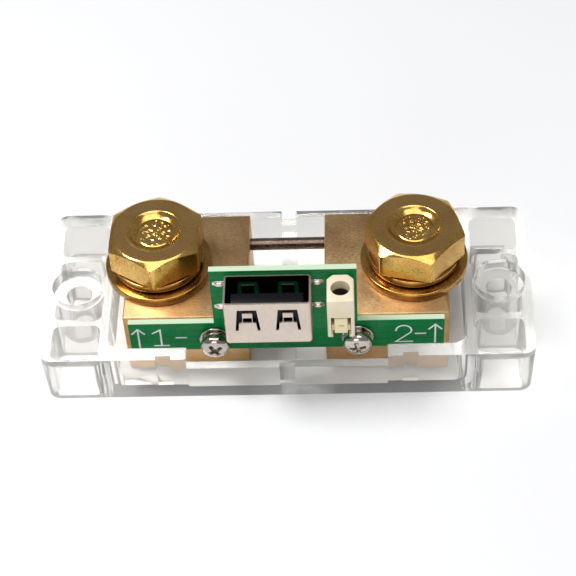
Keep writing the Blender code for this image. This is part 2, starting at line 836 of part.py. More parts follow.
def make_lead_terminal():
    """The push-in terminal: housing, release tab, spring clamp and solder pin."""
    back = BOARD_FACE - GAP
    front = back - LEAD_DEPTH
    half = LEAD_WIDTH / 2
    body = box(
        "lead_terminal_body",
        (LEAD_X - half, front, LEAD_FOOT),
        (LEAD_X + half, back, LEAD_TOP),
        "cream_nylon",
    )
    for side in (-1, 1):
        corner = [
            (side * (half - LEAD_CHAMFER), back + OVER),
            (side * (half - LEAD_CHAMFER), back),
            (side * half, back - LEAD_CHAMFER),
            (side * (half + OVER), back - LEAD_CHAMFER),
            (side * (half + OVER), back + OVER),
        ]
        middle = (LEAD_FOOT + LEAD_TOP) / 2
        cut(body, outline(f"rear_corner_{side}", corner, 12.0 * MM, "Z", (LEAD_X, 0.0, middle)))
    bevel(body, 0.2 * MM)
    chamber_half = half - LEAD_WALL
    pin_low, pin_high = lead_pin_corners()
    play = 0.08 * MM
    cut(
        body,
        cylinder(
            "wire_hole",
            (LEAD_X, WIRE_Y, TAB_SLOT_TOP - OVER),
            (LEAD_X, WIRE_Y, LEAD_TOP + OVER),
            WIRE_HOLE / 2,
            segments=32,
        ),
        box(
            "clamp_chamber",
            (LEAD_X - chamber_half, front - OVER, LEAD_FOOT + 0.5 * MM),
            (LEAD_X + chamber_half, back - 0.9 * MM, TAB_SLOT_TOP),
        ),
        box(
            "pin_passage",
            (pin_low[0] - play, pin_low[1] - OVER, pin_low[2] - play),
            (pin_high[0] + play, back + OVER, pin_high[2] + play),
        ),
    )
    tab = box(
        "release_tab",
        (LEAD_X - TAB_WIDTH / 2, front + 0.05 * MM, TAB_FOOT),
        (LEAD_X + TAB_WIDTH / 2, front + 1.1 * MM, TAB_TOP),
        "cream_nylon",
    )
    bevel(tab, 0.15 * MM)
    join(
        tab,
        box(
            "tab_shoulder",
            (LEAD_X - chamber_half + play, front + 0.7 * MM, TAB_FOOT),
            (LEAD_X + chamber_half - play, front + 1.3 * MM, TAB_FOOT + 1.2 * MM),
        ),
    )
    sheet = 0.25 * MM
    root = back - 1.15 * MM
    nose = front + 1.3 * MM + TAB_TRAVEL + 0.1 * MM
    foot = LEAD_FOOT + 1.6 * MM
    head = TAB_SLOT_TOP - 0.3 * MM
    points = [
        (root, foot),
        (root, head),
        (root - sheet, head),
        (root - sheet, foot + 0.8 * MM),
        (nose, head - 0.4 * MM),
        (nose, head - 0.4 * MM - 1.6 * sheet),
        (root - sheet, foot),
    ]
    outline("lead_terminal_clamp", points, 2.0 * (chamber_half - 0.15 * MM), "X", (LEAD_X, 0.0, 0.0), "tinned_spring")
    box("lead_terminal_pin", pin_low, pin_high, "tinned_spring")


def make_chip(name, x, z, size, legs, finish="chip_epoxy"):
    """A chip on the back of the board: a moulded body with gull legs along its two long sides."""
    width, height, thick = size
    back = BOARD_BACK + GAP
    body = box(
        name,
        (x - width / 2, back + 0.1 * MM, z - height / 2),
        (x + width / 2, back + thick, z + height / 2),
        finish,
    )
    pitch = width / legs
    for side in (-1, 1):
        edge = z + side * height / 2
        low_z = min(edge - side * 0.3 * MM, edge + side * 0.9 * MM)
        high_z = max(edge - side * 0.3 * MM, edge + side * 0.9 * MM)
        for index in range(legs):
            middle = x + (index + 0.5) * pitch - width / 2
            leg = box(
                f"{name}_leg_{side}_{index}",
                (middle - 0.2 * MM, back, low_z),
                (middle + 0.2 * MM, back + 0.5 * MM, high_z),
            )
            join(body, leg)


def make_board_parts():
    """The parts soldered to the back of the board, behind the socket and between the blocks."""
    back = BOARD_BACK + GAP
    make_chip("sense_amplifier", -5.7 * MM, 19.8 * MM, (4.9 * MM, 3.9 * MM, 1.6 * MM), 4)
    make_chip("controller_chip", 0.4 * MM, 20.0 * MM, (6.5 * MM, 4.4 * MM, 1.2 * MM), 6)
    make_chip("voltage_regulator", 0.0, 11.4 * MM, (4.5 * MM, 2.5 * MM, 1.5 * MM), 3)
    small = (
        ("input_capacitor", -4.2 * MM, 15.2 * MM, 3.2 * MM, 1.6 * MM, 1.2 * MM, "ceramic_tan"),
        ("output_capacitor", 3.8 * MM, 15.2 * MM, 3.2 * MM, 1.6 * MM, 1.2 * MM, "ceramic_tan"),
        ("sense_resistor_left", -9.4 * MM, 15.4 * MM, 2.0 * MM, 1.25 * MM, 0.55 * MM, "chip_epoxy"),
        ("sense_resistor_right", 8.6 * MM, 14.8 * MM, 2.0 * MM, 1.25 * MM, 0.55 * MM, "chip_epoxy"),
    )
    for name, x, z, width, height, thick, finish in small:
        part = box(
            name,
            (x - width / 2, back, z - height / 2),
            (x + width / 2, back + thick, z + height / 2),
            finish,
        )
        bevel(part, 0.08 * MM, segments=1)


def make_base_screws():
    """The countersunk screws that hold each block down on the base's floor."""
    for side, name in ((-1, "left"), (1, "right")):
        head = BASE_SCREW_HEAD / 2
        shank = BASE_SCREW_DIAMETER / 2
        low = 0.1 * MM
        screw = turned(
            f"{name}_base_screw",
            [
                (0.0, BASE_SCREW_END),
                (shank - 0.4 * MM, BASE_SCREW_END),
                (shank, BASE_SCREW_END - 0.4 * MM),
                (shank, low + head - shank + 0.1 * MM),
                (head, low + 0.1 * MM),
                (head, low),
                (0.0, low),
            ],
            "nickel_screw",
            location=(side * BASE_SCREW_X, 0.0, 0.0),
            steps=32,
        )
        arm = 1.5 * MM
        slot = 0.35 * MM
        for index in range(2):
            blade = box(f"{name}_base_cross_{index}", (-arm, -slot, -OVER), (arm, slot, 1.1 * MM))
            blade.location.x = side * BASE_SCREW_X
            blade.rotation_euler.z = math.radians(20.0 + 90.0 * index)
            cut(screw, blade)


make_base()
make_blocks()
make_rods()
make_terminals()
make_board()
make_board_screws()
make_usb_socket()
make_lead_terminal()
make_board_parts()
make_base_screws()
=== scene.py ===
"""Looks for the battery monitor shunt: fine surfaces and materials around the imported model.

Metres, +Z up, in the model's own frame. Run as a script it registers its classes, makes every
piece through its operators and leaves the scene ready to render.
"""

import math

import bmesh
import bpy
import numpy as np
from mathutils import Matrix, Vector


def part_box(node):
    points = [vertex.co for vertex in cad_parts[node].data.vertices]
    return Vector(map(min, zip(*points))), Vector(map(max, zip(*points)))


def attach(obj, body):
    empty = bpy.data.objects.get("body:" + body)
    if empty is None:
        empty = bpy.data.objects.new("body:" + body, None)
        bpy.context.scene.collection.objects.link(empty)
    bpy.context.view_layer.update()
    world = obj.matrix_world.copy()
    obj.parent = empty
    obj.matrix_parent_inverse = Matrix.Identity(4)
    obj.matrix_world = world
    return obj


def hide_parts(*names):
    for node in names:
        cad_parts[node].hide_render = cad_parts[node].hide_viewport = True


bl_info = {
    "name": "Battery monitor shunt looks",
    "version": (1, 0, 0),
    "blender": (4, 5, 0),
    "location": "3D View > Sidebar > Shunt",
    "description": "Builds the fine surfaces, materials and studio of a battery monitor shunt",
    "category": "Object",
}

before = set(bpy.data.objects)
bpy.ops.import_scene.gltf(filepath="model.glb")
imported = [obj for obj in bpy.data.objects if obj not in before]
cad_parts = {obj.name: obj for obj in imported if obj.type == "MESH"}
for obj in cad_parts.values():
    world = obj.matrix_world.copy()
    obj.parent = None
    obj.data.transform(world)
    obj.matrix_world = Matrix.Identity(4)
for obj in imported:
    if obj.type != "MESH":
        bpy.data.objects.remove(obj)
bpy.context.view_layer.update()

MM = 0.001
TAU = 2.0 * math.pi
SIDES = {"left": -1.0, "right": 1.0}
BOLT_X = 20.25 * MM
# An edge of a CAD solid is sharp past this angle, in degrees
SHARP = 30.0


# -------- numbers and colours


def linear(hex_colour):
    """Linear RGB of an sRGB hex value: the low part is a line, the rest a 2.4 power."""
    channels = [int(hex_colour[i : i + 2], 16) / 255.0 for i in (0, 2, 4)]
    return tuple(c / 12.92 if c <= 0.04045 else ((c + 0.055) / 1.055) ** 2.4 for c in channels)


def rgba(colour):
    """A colour with full alpha, as a node's colour socket takes it."""
    return (colour[0], colour[1], colour[2], 1.0)


def smooth_step(x):
    """0 below 0, 1 above 1, and 3x^2 - 2x^3 between."""
    t = np.clip(x, 0.0, 1.0)
    return t * t * (3.0 - 2.0 * t)


def lumps(x, y, size, seed):
    """Smooth random height near -1..1: sine waves in random directions, each octave half as long and high."""
    random = np.random.default_rng(seed)
    octaves = 4
    waves = 5
    spread = 0.45
    total = np.zeros_like(x)
    weight = 0.0
    for octave in range(octaves):
        wave = size / 2.0**octave
        share = 0.5**octave
        for _ in range(waves):
            angle = random.uniform(0.0, TAU)
            phase = random.uniform(0.0, TAU)
            along = (x * math.cos(angle) + y * math.sin(angle)) * TAU / wave
            total += share * np.sin(along + phase)
            weight += share
    return total / (spread * weight)


# -------- meshes


def grid_faces(rows, columns, wrap_rows):
    """Quads between the neighbours of a rows x columns grid, whose columns meet round the back."""
    row = np.arange(rows if wrap_rows else rows - 1)
    r, c = np.meshgrid(row, np.arange(columns), indexing="ij")
    r1 = (r + 1) % rows
    c1 = (c + 1) % columns
    quads = np.stack([r * columns + c, r * columns + c1, r1 * columns + c1, r1 * columns + c], axis=-1)
    return quads.reshape(-1, 4)


def surface(name, grid, wrap_rows=False, ends="none", crease=32.0):
    """A mesh object from a grid of points. The ends are joined to a middle point or closed by a face."""
    rows, columns = grid.shape[:2]
    points = grid.reshape(-1, 3)
    faces = grid_faces(rows, columns, wrap_rows).tolist()
    if ends == "poles":
        first = len(points)
        points = np.vstack([points, grid[0].mean(axis=0), grid[-1].mean(axis=0)])
        c = np.arange(columns)
        c1 = (c + 1) % columns
        last_row = (rows - 1) * columns
        faces += np.stack([c1, c, np.full(columns, first)], axis=-1).tolist()
        faces += np.stack([last_row + c, last_row + c1, np.full(columns, first + 1)], axis=-1).tolist()
    elif ends == "caps":
        faces.append(list(range(columns))[::-1])
        faces.append(list(range((rows - 1) * columns, rows * columns)))
    mesh = bpy.data.meshes.new(name)
    mesh.from_pydata(points.tolist(), [], faces)
    return object_from(name, mesh, crease)


def object_from(name, mesh, crease=32.0):
    """Link a closed mesh as an object, its faces turned outwards and its sharp edges kept sharp."""
    bm = bmesh.new()
    bm.from_mesh(mesh)
    bmesh.ops.recalc_face_normals(bm, faces=bm.faces)
    bm.to_mesh(mesh)
    bm.free()
    mesh.shade_smooth()
    mesh.set_sharp_from_angle(angle=math.radians(crease))
    obj = bpy.data.objects.new(name, mesh)
    bpy.context.scene.collection.objects.link(obj)
    return obj


def joined(name, objects):
    """Several meshes as one object at the origin."""
    bm = bmesh.new()
    for obj in objects:
        bm.from_mesh(obj.data)
    mesh = bpy.data.meshes.new(name)
    bm.to_mesh(mesh)
    bm.free()
    for obj in objects:
        bpy.data.objects.remove(obj, do_unlink=True)
    return object_from(name, mesh)


def revolve(radius, height, centre, axis):
    """A profile carried round an axis: point (r, h) goes to (r cos a, r sin a, h) about the centre."""
    steps = 96
    angle = np.arange(steps) * TAU / steps
    r = np.asarray(radius, float)[:, None]
    h = np.broadcast_to(np.asarray(height, float)[:, None], (len(radius), steps))
    across = r * np.cos(angle)
    up = r * np.sin(angle)
    return placed(across, up, h, centre, axis)


def placed(a, b, along, centre, axis):
    """Points a, b across an axis and along it, put at a centre. Axis -Y keeps a on +X and b on +Z."""
    x, y, z = centre
    if axis == "-Y":
        return np.stack([x + a, y - along, z + b], axis=-1)
    return np.stack([x + a, y + b, z + along], axis=-1)


def rounded_loop(width, height, corner):
    """A rectangle with round corners about (0, 0): arcs of the corner radius, anticlockwise."""
    quarter = np.linspace(0.0, math.pi / 2, 5)
    points = []
    for turn, (sx, sy) in enumerate(((1, 1), (-1, 1), (-1, -1), (1, -1))):
        arc = quarter + turn * math.pi / 2
        x = sx * (width / 2 - corner) + corner * np.cos(arc)
        y = sy * (height / 2 - corner) + corner * np.sin(arc)
        points.append(np.stack([x, y], axis=-1))
    return np.concatenate(points)


def refined(node, name, width=0.0, segments=3):
    """A copy of a CAD solid with its loose triangles merged and, given a width, its edges rounded."""
    bm = bmesh.new()
    bm.from_mesh(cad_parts[node].data)
    bmesh.ops.remove_doubles(bm, verts=bm.verts, dist=1e-6)
    bmesh.ops.dissolve_limit(bm, angle_limit=math.radians(0.5), verts=bm.verts, edges=bm.edges)
    mesh = bpy.data.meshes.new(name)
    bm.to_mesh(mesh)
    bm.free()
    obj = object_from(name, mesh, SHARP)
    if width > 0.0:
        round_edges(obj, width, segments)
    return obj


def round_edges(obj, width, segments):
    """A Bevel on every sharp edge."""
    modifier = obj.modifiers.new("Round edges", "BEVEL")
    modifier.width = width
    modifier.segments = segments
    modifier.limit_method = "ANGLE"
    modifier.angle_limit = math.radians(SHARP)
    modifier.use_clamp_overlap = True
    modifier.harden_normals = True


def coat(obj, material):
    """Give a piece or a CAD node one material."""
    obj.data.materials.clear()
    obj.data.materials.append(material)


def finish(obj, body, slot, material, *nodes):
    """Give a piece its material, the body it rides on and the CAD nodes it stands for. The slot is not used.
    """
    coat(obj, material)
    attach(obj, body)
    if nodes:
        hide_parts(*nodes)


# -------- materials


def add(tree, kind, inputs=None, **settings):
    """Add a node, set its properties, then set or link each named input."""
    node = tree.nodes.new(kind)
    for name, value in settings.items():
        setattr(node, name, value)
    for name, value in (inputs or {}).items():
        if isinstance(value, bpy.types.NodeSocket):
            tree.links.new(value, node.inputs[name])
        else:
            node.inputs[name].default_value = value
    return node


def blank(name):
    """A new material with an empty node tree."""
    material = bpy.data.materials.new(name)
    material.use_nodes = True
    material.node_tree.nodes.clear()
    return material, material.node_tree


def metal(name, base, dark, grain, roughness, bump, stretch=(1.0, 1.0, 1.0)):
    """A worked metal: colour drifts between two tones in patches, and a fine grain breaks up its gloss.

    Real grain is under 0.1 mm, too fine to show, so it is drawn two or three times as coarse.
    """
    patches = 5.0 * MM
    low, high = roughness
    material, tree = blank(name)
    coords = add(tree, "ShaderNodeTexCoord").outputs["Object"]
    scale = tuple(s / grain for s in stretch)
    mapped = add(tree, "ShaderNodeMapping", {"Vector": coords, "Scale": scale}).outputs["Vector"]
    fine = add(tree, "ShaderNodeTexNoise", {"Vector": mapped, "Scale": 1.0, "Detail": 3.0}).outputs["Fac"]
    broad = add(tree, "ShaderNodeTexNoise", {"Vector": coords, "Scale": 1.0 / patches, "Detail": 2.0})
    blend = add(tree, "ShaderNodeMath", {0: fine, 1: broad.outputs["Fac"], 2: 0.1}, operation="MULTIPLY_ADD")
    ramp = add(tree, "ShaderNodeValToRGB", {"Fac": blend.outputs["Value"]})
    ramp.color_ramp.elements[0].position = 0.2
    ramp.color_ramp.elements[0].color = rgba(dark)
    ramp.color_ramp.elements[1].position = 0.5
    ramp.color_ramp.elements[1].color = rgba(base)
    gloss = add(
        tree,
        "ShaderNodeMapRange",
        {"Value": fine, "From Min": 0.3, "From Max": 0.7, "To Min": low, "To Max": high},
    )
    relief = add(tree, "ShaderNodeBump", {"Height": fine, "Strength": bump, "Distance": 0.3 * grain})
    shader = add(
        tree,
        "ShaderNodeBsdfPrincipled",
        {
            "Base Color": ramp.outputs["Color"],
            "Metallic": 1.0,
            "Roughness": gloss.outputs["Result"],
            "Normal": relief.outputs["Normal"],
        },
    )
    add(tree, "ShaderNodeOutputMaterial", {"Surface": shader.outputs["BSDF"]})
    return material


def over_masked(material, mask, colour, roughness):
    """Where a mask is 1, give a material another colour and roughness under the same grain."""
    tree = material.node_tree
    shader = next(node for node in tree.nodes if node.type == "BSDF_PRINCIPLED")
    tone = shader.inputs["Base Color"]
    gloss = shader.inputs["Roughness"]
    # A Mix node's sockets share their names, so they go by index: 2, 3 to 0 for values, 6, 7 to 2 for colours
    new_tone = {0: mask, 6: tone.links[0].from_socket, 7: rgba(colour)}
    tree.links.new(add(tree, "ShaderNodeMix", new_tone, data_type="RGBA").outputs[2], tone)
    new_gloss = {0: mask, 2: gloss.links[0].from_socket, 3: roughness}
    tree.links.new(add(tree, "ShaderNodeMix", new_gloss).outputs[0], gloss)


def steps_between(tree, value, low, high):
    """A mask that is 1 while a value is between two limits."""
    above = add(tree, "ShaderNodeMath", {0: value, 1: low}, operation="GREATER_THAN")
    below = add(tree, "ShaderNodeMath", {0: value, 1: high}, operation="LESS_THAN")
    both = add(tree, "ShaderNodeMath", {0: above.outputs[0], 1: below.outputs[0]}, operation="MULTIPLY")
    return both.outputs[0]


def from_axis(tree, x, y):
    """The level vector from an upright axis to each point, and the points' heights."""
    coords = add(tree, "ShaderNodeTexCoord").outputs["Object"]
    level = {"Vector": coords, "Location": (-x, -y, 0.0), "Scale": (1.0, 1.0, 0.0)}
    height = add(tree, "ShaderNodeSeparateXYZ", {"Vector": coords}).outputs["Z"]
    return add(tree, "ShaderNodeMapping", level).outputs["Vector"], height


def ring_between(tree, x, y, radii, heights):
    """A mask that is 1 between two distances from an upright axis and between two heights."""
    level, height = from_axis(tree, x, y)
    across = add(tree, "ShaderNodeVectorMath", {0: level}, operation="LENGTH").outputs["Value"]
    ring = steps_between(tree, across, *radii)
    band = steps_between(tree, height, *heights)
    return add(tree, "ShaderNodeMath", {0: ring, 1: band}, operation="MULTIPLY").outputs[0]


def moulded(name, base, shade, roughness, grain, bump=0.05, subsurface=0.0, specular=0.5):
    """A moulded plastic: an even colour with faint flow marks and a fine spark-eroded texture.

    The texture's real grain, about 0.05 mm, is too fine to show, so it is drawn coarser.
    """
    flow = 3.0 * MM
    uneven = 0.06
    material, tree = blank(name)
    coords = add(tree, "ShaderNodeTexCoord").outputs["Object"]
    fine = add(tree, "ShaderNodeTexNoise", {"Vector": coords, "Scale": 1.0 / grain, "Detail": 2.0})
    fine = fine.outputs["Fac"]
    broad = add(tree, "ShaderNodeTexNoise", {"Vector": coords, "Scale": 1.0 / flow, "Detail": 1.0})
    ramp = add(tree, "ShaderNodeValToRGB", {"Fac": broad.outputs["Fac"]})
    ramp.color_ramp.elements[0].position = 0.3
    ramp.color_ramp.elements[0].color = rgba(shade)
    ramp.color_ramp.elements[1].position = 0.7
    ramp.color_ramp.elements[1].color = rgba(base)
    gloss = add(
        tree,
        "ShaderNodeMapRange",
        {"Value": fine, "To Min": roughness - uneven, "To Max": roughness + uneven},
    )
    relief = add(tree, "ShaderNodeBump", {"Height": fine, "Strength": bump, "Distance": 0.2 * grain})
    shader = add(
        tree,
        "ShaderNodeBsdfPrincipled",
        {
            "Base Color": ramp.outputs["Color"],
            "Roughness": gloss.outputs["Result"],
            "Normal": relief.outputs["Normal"],
            "IOR": 1.53,
            "Specular IOR Level": specular,
            "Subsurface Weight": subsurface,
            "Subsurface Scale": 0.5 * MM,
        },
    )
    add(tree, "ShaderNodeOutputMaterial", {"Surface": shader.outputs["BSDF"]})
    return material


def clear_polycarbonate(tint):
    """Polycarbonate moulded clear: almost white, slightly warm, with faint flow ripples in its gloss.

    It lets most of a shadow's light through, as a clear casting does.
    """
    ripples = 4.0 * MM
    material, tree = blank("clear_polycarbonate")
    coords = add(tree, "ShaderNodeTexCoord").outputs["Object"]
    ripple = add(tree, "ShaderNodeTexNoise", {"Vector": coords, "Scale": 1.0 / ripples, "Detail": 2.0})
    ripple = ripple.outputs["Fac"]
    relief = add(tree, "ShaderNodeBump", {"Height": ripple, "Strength": 0.12, "Distance": 0.2 * MM})
    gloss = add(tree, "ShaderNodeMapRange", {"Value": ripple, "To Min": 0.0, "To Max": 0.05})
    shader = add(
        tree,
        "ShaderNodeBsdfPrincipled",
        {
            "Base Color": rgba(tint),
            "Roughness": gloss.outputs["Result"],
            "IOR": 1.49,
            "Transmission Weight": 0.88,
            "Normal": relief.outputs["Normal"],
        },
    )
    path = add(tree, "ShaderNodeLightPath")
    through = add(tree, "ShaderNodeBsdfTransparent", {"Color": rgba(linear("EEEEEC"))})
    mix = add(
        tree,
        "ShaderNodeMixShader",
        {0: path.outputs["Is Shadow Ray"], 1: shader.outputs["BSDF"], 2: through.outputs["BSDF"]},
    )
    add(tree, "ShaderNodeOutputMaterial", {"Surface": mix.outputs["Shader"]})
    return material


def solder_mask(green, dark, edge):
    """Glass-epoxy board: glossy green mask over copper on its faces, bare pale laminate on its cut edges.

    The tracks under the mask are a brick pattern 4 mm by 1.3 mm, laid upright on the board's faces.
    """
    material, tree = blank("solder_mask")
    coords = add(tree, "ShaderNodeTexCoord").outputs["Object"]
    geometry = add(tree, "ShaderNodeNewGeometry")
    split = add(tree, "ShaderNodeSeparateXYZ", {"Vector": geometry.outputs["True Normal"]})
    facing = add(tree, "ShaderNodeMath", {0: split.outputs["Y"]}, operation="ABSOLUTE").outputs["Value"]
    face = add(tree, "ShaderNodeMath", {0: facing, 1: 0.8}, operation="GREATER_THAN").outputs["Value"]
    upright = (math.radians(90.0), 0.0, 0.0)
    turned = add(tree, "ShaderNodeMapping", {"Vector": coords, "Rotation": upright})
    tracks = add(
        tree,
        "ShaderNodeTexBrick",
        {
            "Vector": turned.outputs["Vector"],
            "Color1": rgba(green),
            "Color2": rgba(green),
            "Mortar": rgba(dark),
            "Scale": 1.0,
            "Mortar Size": 0.12 * MM,
            "Brick Width": 4.0 * MM,
            "Row Height": 1.3 * MM,
        },
    )
    weave = add(tree, "ShaderNodeTexNoise", {"Vector": coords, "Scale": 1.0 / (1.2 * MM)})
    thick = {0: weave.outputs["Fac"], 6: tracks.outputs["Color"], 7: rgba(green)}
    faces = add(tree, "ShaderNodeMix", thick, data_type="RGBA")
    cut = {0: face, 6: rgba(edge), 7: faces.outputs[2]}
    colour = add(tree, "ShaderNodeMix", cut, data_type="RGBA")
    gloss = add(tree, "ShaderNodeMapRange", {"Value": face, "To Min": 0.6, "To Max": 0.22})
    relief = add(
        tree,
        "ShaderNodeBump",
        {"Height": tracks.outputs["Fac"], "Strength": 0.15, "Distance": 0.03 * MM},
    )
    shader = add(
        tree,
        "ShaderNodeBsdfPrincipled",
        {
            "Base Color": colour.outputs[2],
            "Roughness": gloss.outputs["Result"],
            "Normal": relief.outputs["Normal"],
            "IOR": 1.5,
            "Specular IOR Level": 0.15,
        },
    )
    add(tree, "ShaderNodeOutputMaterial", {"Surface": shader.outputs["BSDF"]})
    return material


# -------- settings


def colour_setting(name, description, hex_colour):
    """A colour property whose default is a named sRGB hex value."""
    return bpy.props.FloatVectorProperty(
        name=name,
        description=description,
        subtype="COLOR",
        size=3,
        min=0.0,
        max=1.0,
        default=linear(hex_colour),
    )


class ShuntBrassSettings(bpy.types.PropertyGroup):
    """Colours of the copper alloys."""

    block: colour_setting("Block", "Sanded brass of the terminal blocks", "E6BE8A")
    block_dark: colour_setting("Block, worn", "Darker tone in the sanded brass", "B48C5E")
    bolt: colour_setting("Bolt", "Bright brass of the bolts", "F1C978")
    bolt_dark: colour_setting("Bolt, dull", "Duller tone in the bolts' brass", "C08A3E")
    # Painted shade: the brown of the heads' tops stands in for the dim room that they reflect
    bolt_top_shade: colour_setting("Bolt, top", "Browned brass on top of the bolts' heads", "BE9562")
    washer: colour_setting("Washer", "Stamped brass of the large washers", "CD9F59")
    washer_dark: colour_setting("Washer, dull", "Duller tone in the washers' brass", "966D38")
    rod: colour_setting("Rod", "Dark resistance alloy of the rods", "9A8474")


class ShuntPlasticSettings(bpy.types.PropertyGroup):
    """Colours of the plastics and the board."""

    clear: colour_setting("Base", "Clear polycarbonate of the base", "F4F3F1")
    mask: colour_setting("Solder mask", "Green of the board's faces", "05793D")
    mask_dark: colour_setting("Mask between tracks", "Darker green with no copper under it", "045C31")
    laminate: colour_setting("Laminate", "Pale cut edge of the board", "CBE0C2")
    ink: colour_setting("Ink", "White legend ink on the board", "EAF4EE")
    cream: colour_setting("Terminal", "Cream nylon of the push-in terminal", "F1E4CC")
    cream_tab: colour_setting("Release tab", "Cream nylon of the release tab", "F7EBC6")
    black: colour_setting("Insulator", "Black nylon inside the socket", "0B0C12")


class ShuntMetalSettings(bpy.types.PropertyGroup):
    """Colours of the plated metals."""

    shell: colour_setting("Shell", "Nickel plating of the socket's shell", "DCCDC0")
    screw: colour_setting("Screws", "Nickel plating of the small screws", "D3CBC1")
    contact: colour_setting("Contacts", "Gold flash on the contacts", "E2B964")
    solder: colour_setting("Solder", "Tin solder on the board", "EBE4DA")


class ShuntSizeSettings(bpy.types.PropertyGroup):
    """Sizes of the fine detail."""

    base_edge: bpy.props.FloatProperty(
        name="Base edge", description="Radius of the base's edges", default=0.22 * MM, unit="LENGTH"
    )
    block_edge: bpy.props.FloatProperty(
        name="Block edge", description="Radius of the blocks' edges", default=0.12 * MM, unit="LENGTH"
    )
    thread_pitch: bpy.props.FloatProperty(
        name="Thread pitch", description="Pitch of the bolts' M8 thread", default=1.25 * MM, unit="LENGTH"
    )
    stroke: bpy.props.FloatProperty(
        name="Ink stroke", description="Width of the printed marks' strokes", default=0.28 * MM, unit="LENGTH"
    )


# -------- operators


class SHUNT_OT_stage(bpy.types.Operator):
    """White floor, soft lights and the camera"""

    bl_idname = "shunt.stage"
    bl_label = "Stage"

    def execute(self, context):
        make_floor()
        make_lights(context.scene)
        make_camera(context.scene)
        return {"FINISHED"}


def make_floor():
    """A white sweep just under the object, far wider than the view: one square, 3 m across."""
    half = 1.5
    low = -0.03 * MM
    mesh = bpy.data.meshes.new("floor")
    corners = [(-half, -half, low), (half, -half, low), (half, half, low), (-half, half, low)]
    mesh.from_pydata(corners, [], [(0, 1, 2, 3)])
    floor = bpy.data.objects.new("floor", mesh)
    bpy.context.scene.collection.objects.link(floor)
    # White seamless paper, matte
    material, tree = blank("white_paper")
    shader = add(tree, "ShaderNodeBsdfPrincipled", {"Base Color": rgba(linear("F4F4F5")), "Roughness": 0.9})
    add(tree, "ShaderNodeOutputMaterial", {"Surface": shader.outputs["BSDF"]})
    mesh.materials.append(material)


def make_lights(scene):
    """A large overhead softbox, a smaller and steeper one on the left, a weak front fill, a grey room."""
    room_colour = (0.96, 0.98, 1.0, 1.0)
    room_strength = 0.27
    world = bpy.data.worlds.new("studio")
    world.use_nodes = True
    background = world.node_tree.nodes["Background"]
    background.inputs["Color"].default_value = room_colour
    background.inputs["Strength"].default_value = room_strength
    scene.world = world
    scene.view_settings.view_transform = "Standard"
    aim = Vector((0.0, 0.0, 10.0 * MM))
    # Name, place and side in metres, power in watts
    lights = (
        ("overhead_softbox", (0.04, -0.13, 0.50), 0.40, 1.15),
        ("left_softbox", (-0.27, 0.02, 0.50), 0.16, 1.75),
        ("front_fill", (-0.10, -0.80, 0.25), 0.35, 0.9),
    )
    for name, place, size, power in lights:
        lamp = bpy.data.lights.new(name, "AREA")
        lamp.shape = "SQUARE"
        lamp.size = size
        lamp.energy = power
        obj = bpy.data.objects.new(name, lamp)
        obj.location = place
        obj.rotation_mode = "QUATERNION"
        obj.rotation_quaternion = (Vector(place) - aim).to_track_quat("Z", "Y")
        scene.collection.objects.link(obj)


def make_camera(scene):
    """A long lens above the front, rolled slightly so that the right end stands higher.

    The way back to the camera is (sin a cos e, -cos a cos e, sin e) for azimuth a and elevation e.
    """
    azimuth = math.radians(3.45)
    elevation = math.radians(48.3)
    roll = math.radians(-3.69)
    distance = 0.2896
    target = Vector((0.0, 0.0, 8.0 * MM))
    reach = math.cos(elevation)
    back = Vector((math.sin(azimuth) * reach, -math.cos(azimuth) * reach, math.sin(elevation)))
    level = Vector((math.cos(azimuth), math.sin(azimuth), 0.0))
    right = level * math.cos(roll) + back.cross(level) * math.sin(roll)
    data = bpy.data.cameras.new("camera")
    data.lens = 112.0
    data.sensor_width = 36.0
    data.clip_start = 0.01
    data.clip_end = 20.0
    camera = bpy.data.objects.new("camera", data)
    camera.location = target + back * distance
    camera.rotation_mode = "QUATERNION"
    camera.rotation_quaternion = Matrix((right, back.cross(right), back)).transposed().to_quaternion()
    scene.collection.objects.link(camera)
    scene.camera = camera


class SHUNT_OT_base(bpy.types.Operator):
    """The clear base with rounded moulded edges"""

    bl_idname = "shunt.base"
    bl_label = "Clear base"

    def execute(self, context):
        sizes = context.scene.shunt_sizes
        plastics = context.scene.shunt_plastics
        base = refined("base_tray", "clear_base", sizes.base_edge, segments=3)
        finish(base, "base", "clear_plastic", clear_polycarbonate(plastics.clear), "base_tray")
        return {"FINISHED"}


class SHUNT_OT_blocks(bpy.types.Operator):
    """The two sanded brass blocks and the rods between them"""

    bl_idname = "shunt.blocks"
    bl_label = "Blocks and rods"

    def execute(self, context):
        brass = context.scene.shunt_brass
        # Sanded brass: short scratches along the block, about 0.2 mm apart, over slow tonal drift.
        # Real scratches are a third as wide, too fine to show.
        sanded = metal(
            "sanded_brass",
            brass.block,
            brass.block_dark,
            0.18 * MM,
            roughness=(0.34, 0.5),
            bump=0.45,
            stretch=(0.35, 1.0, 1.0),
        )
        for side in SIDES:
            node = f"{side}_terminal_block"
            finish(refined(node, f"{side}_block"), "base", "sanded_brass", sanded, node)
        # Copper-manganese resistance alloy: drawn rod, dark with oxide, faint draw lines along it
        drawn = metal(
            "drawn_resistance_alloy",
            brass.rod,
            linear("574840"),
            0.3 * MM,
            roughness=(0.25, 0.4),
            bump=0.25,
            stretch=(0.7, 1.0, 1.0),
        )
        for place in ("front", "rear"):
            coat(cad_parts[f"{place}_resistance_rod"], drawn)
        return {"FINISHED"}


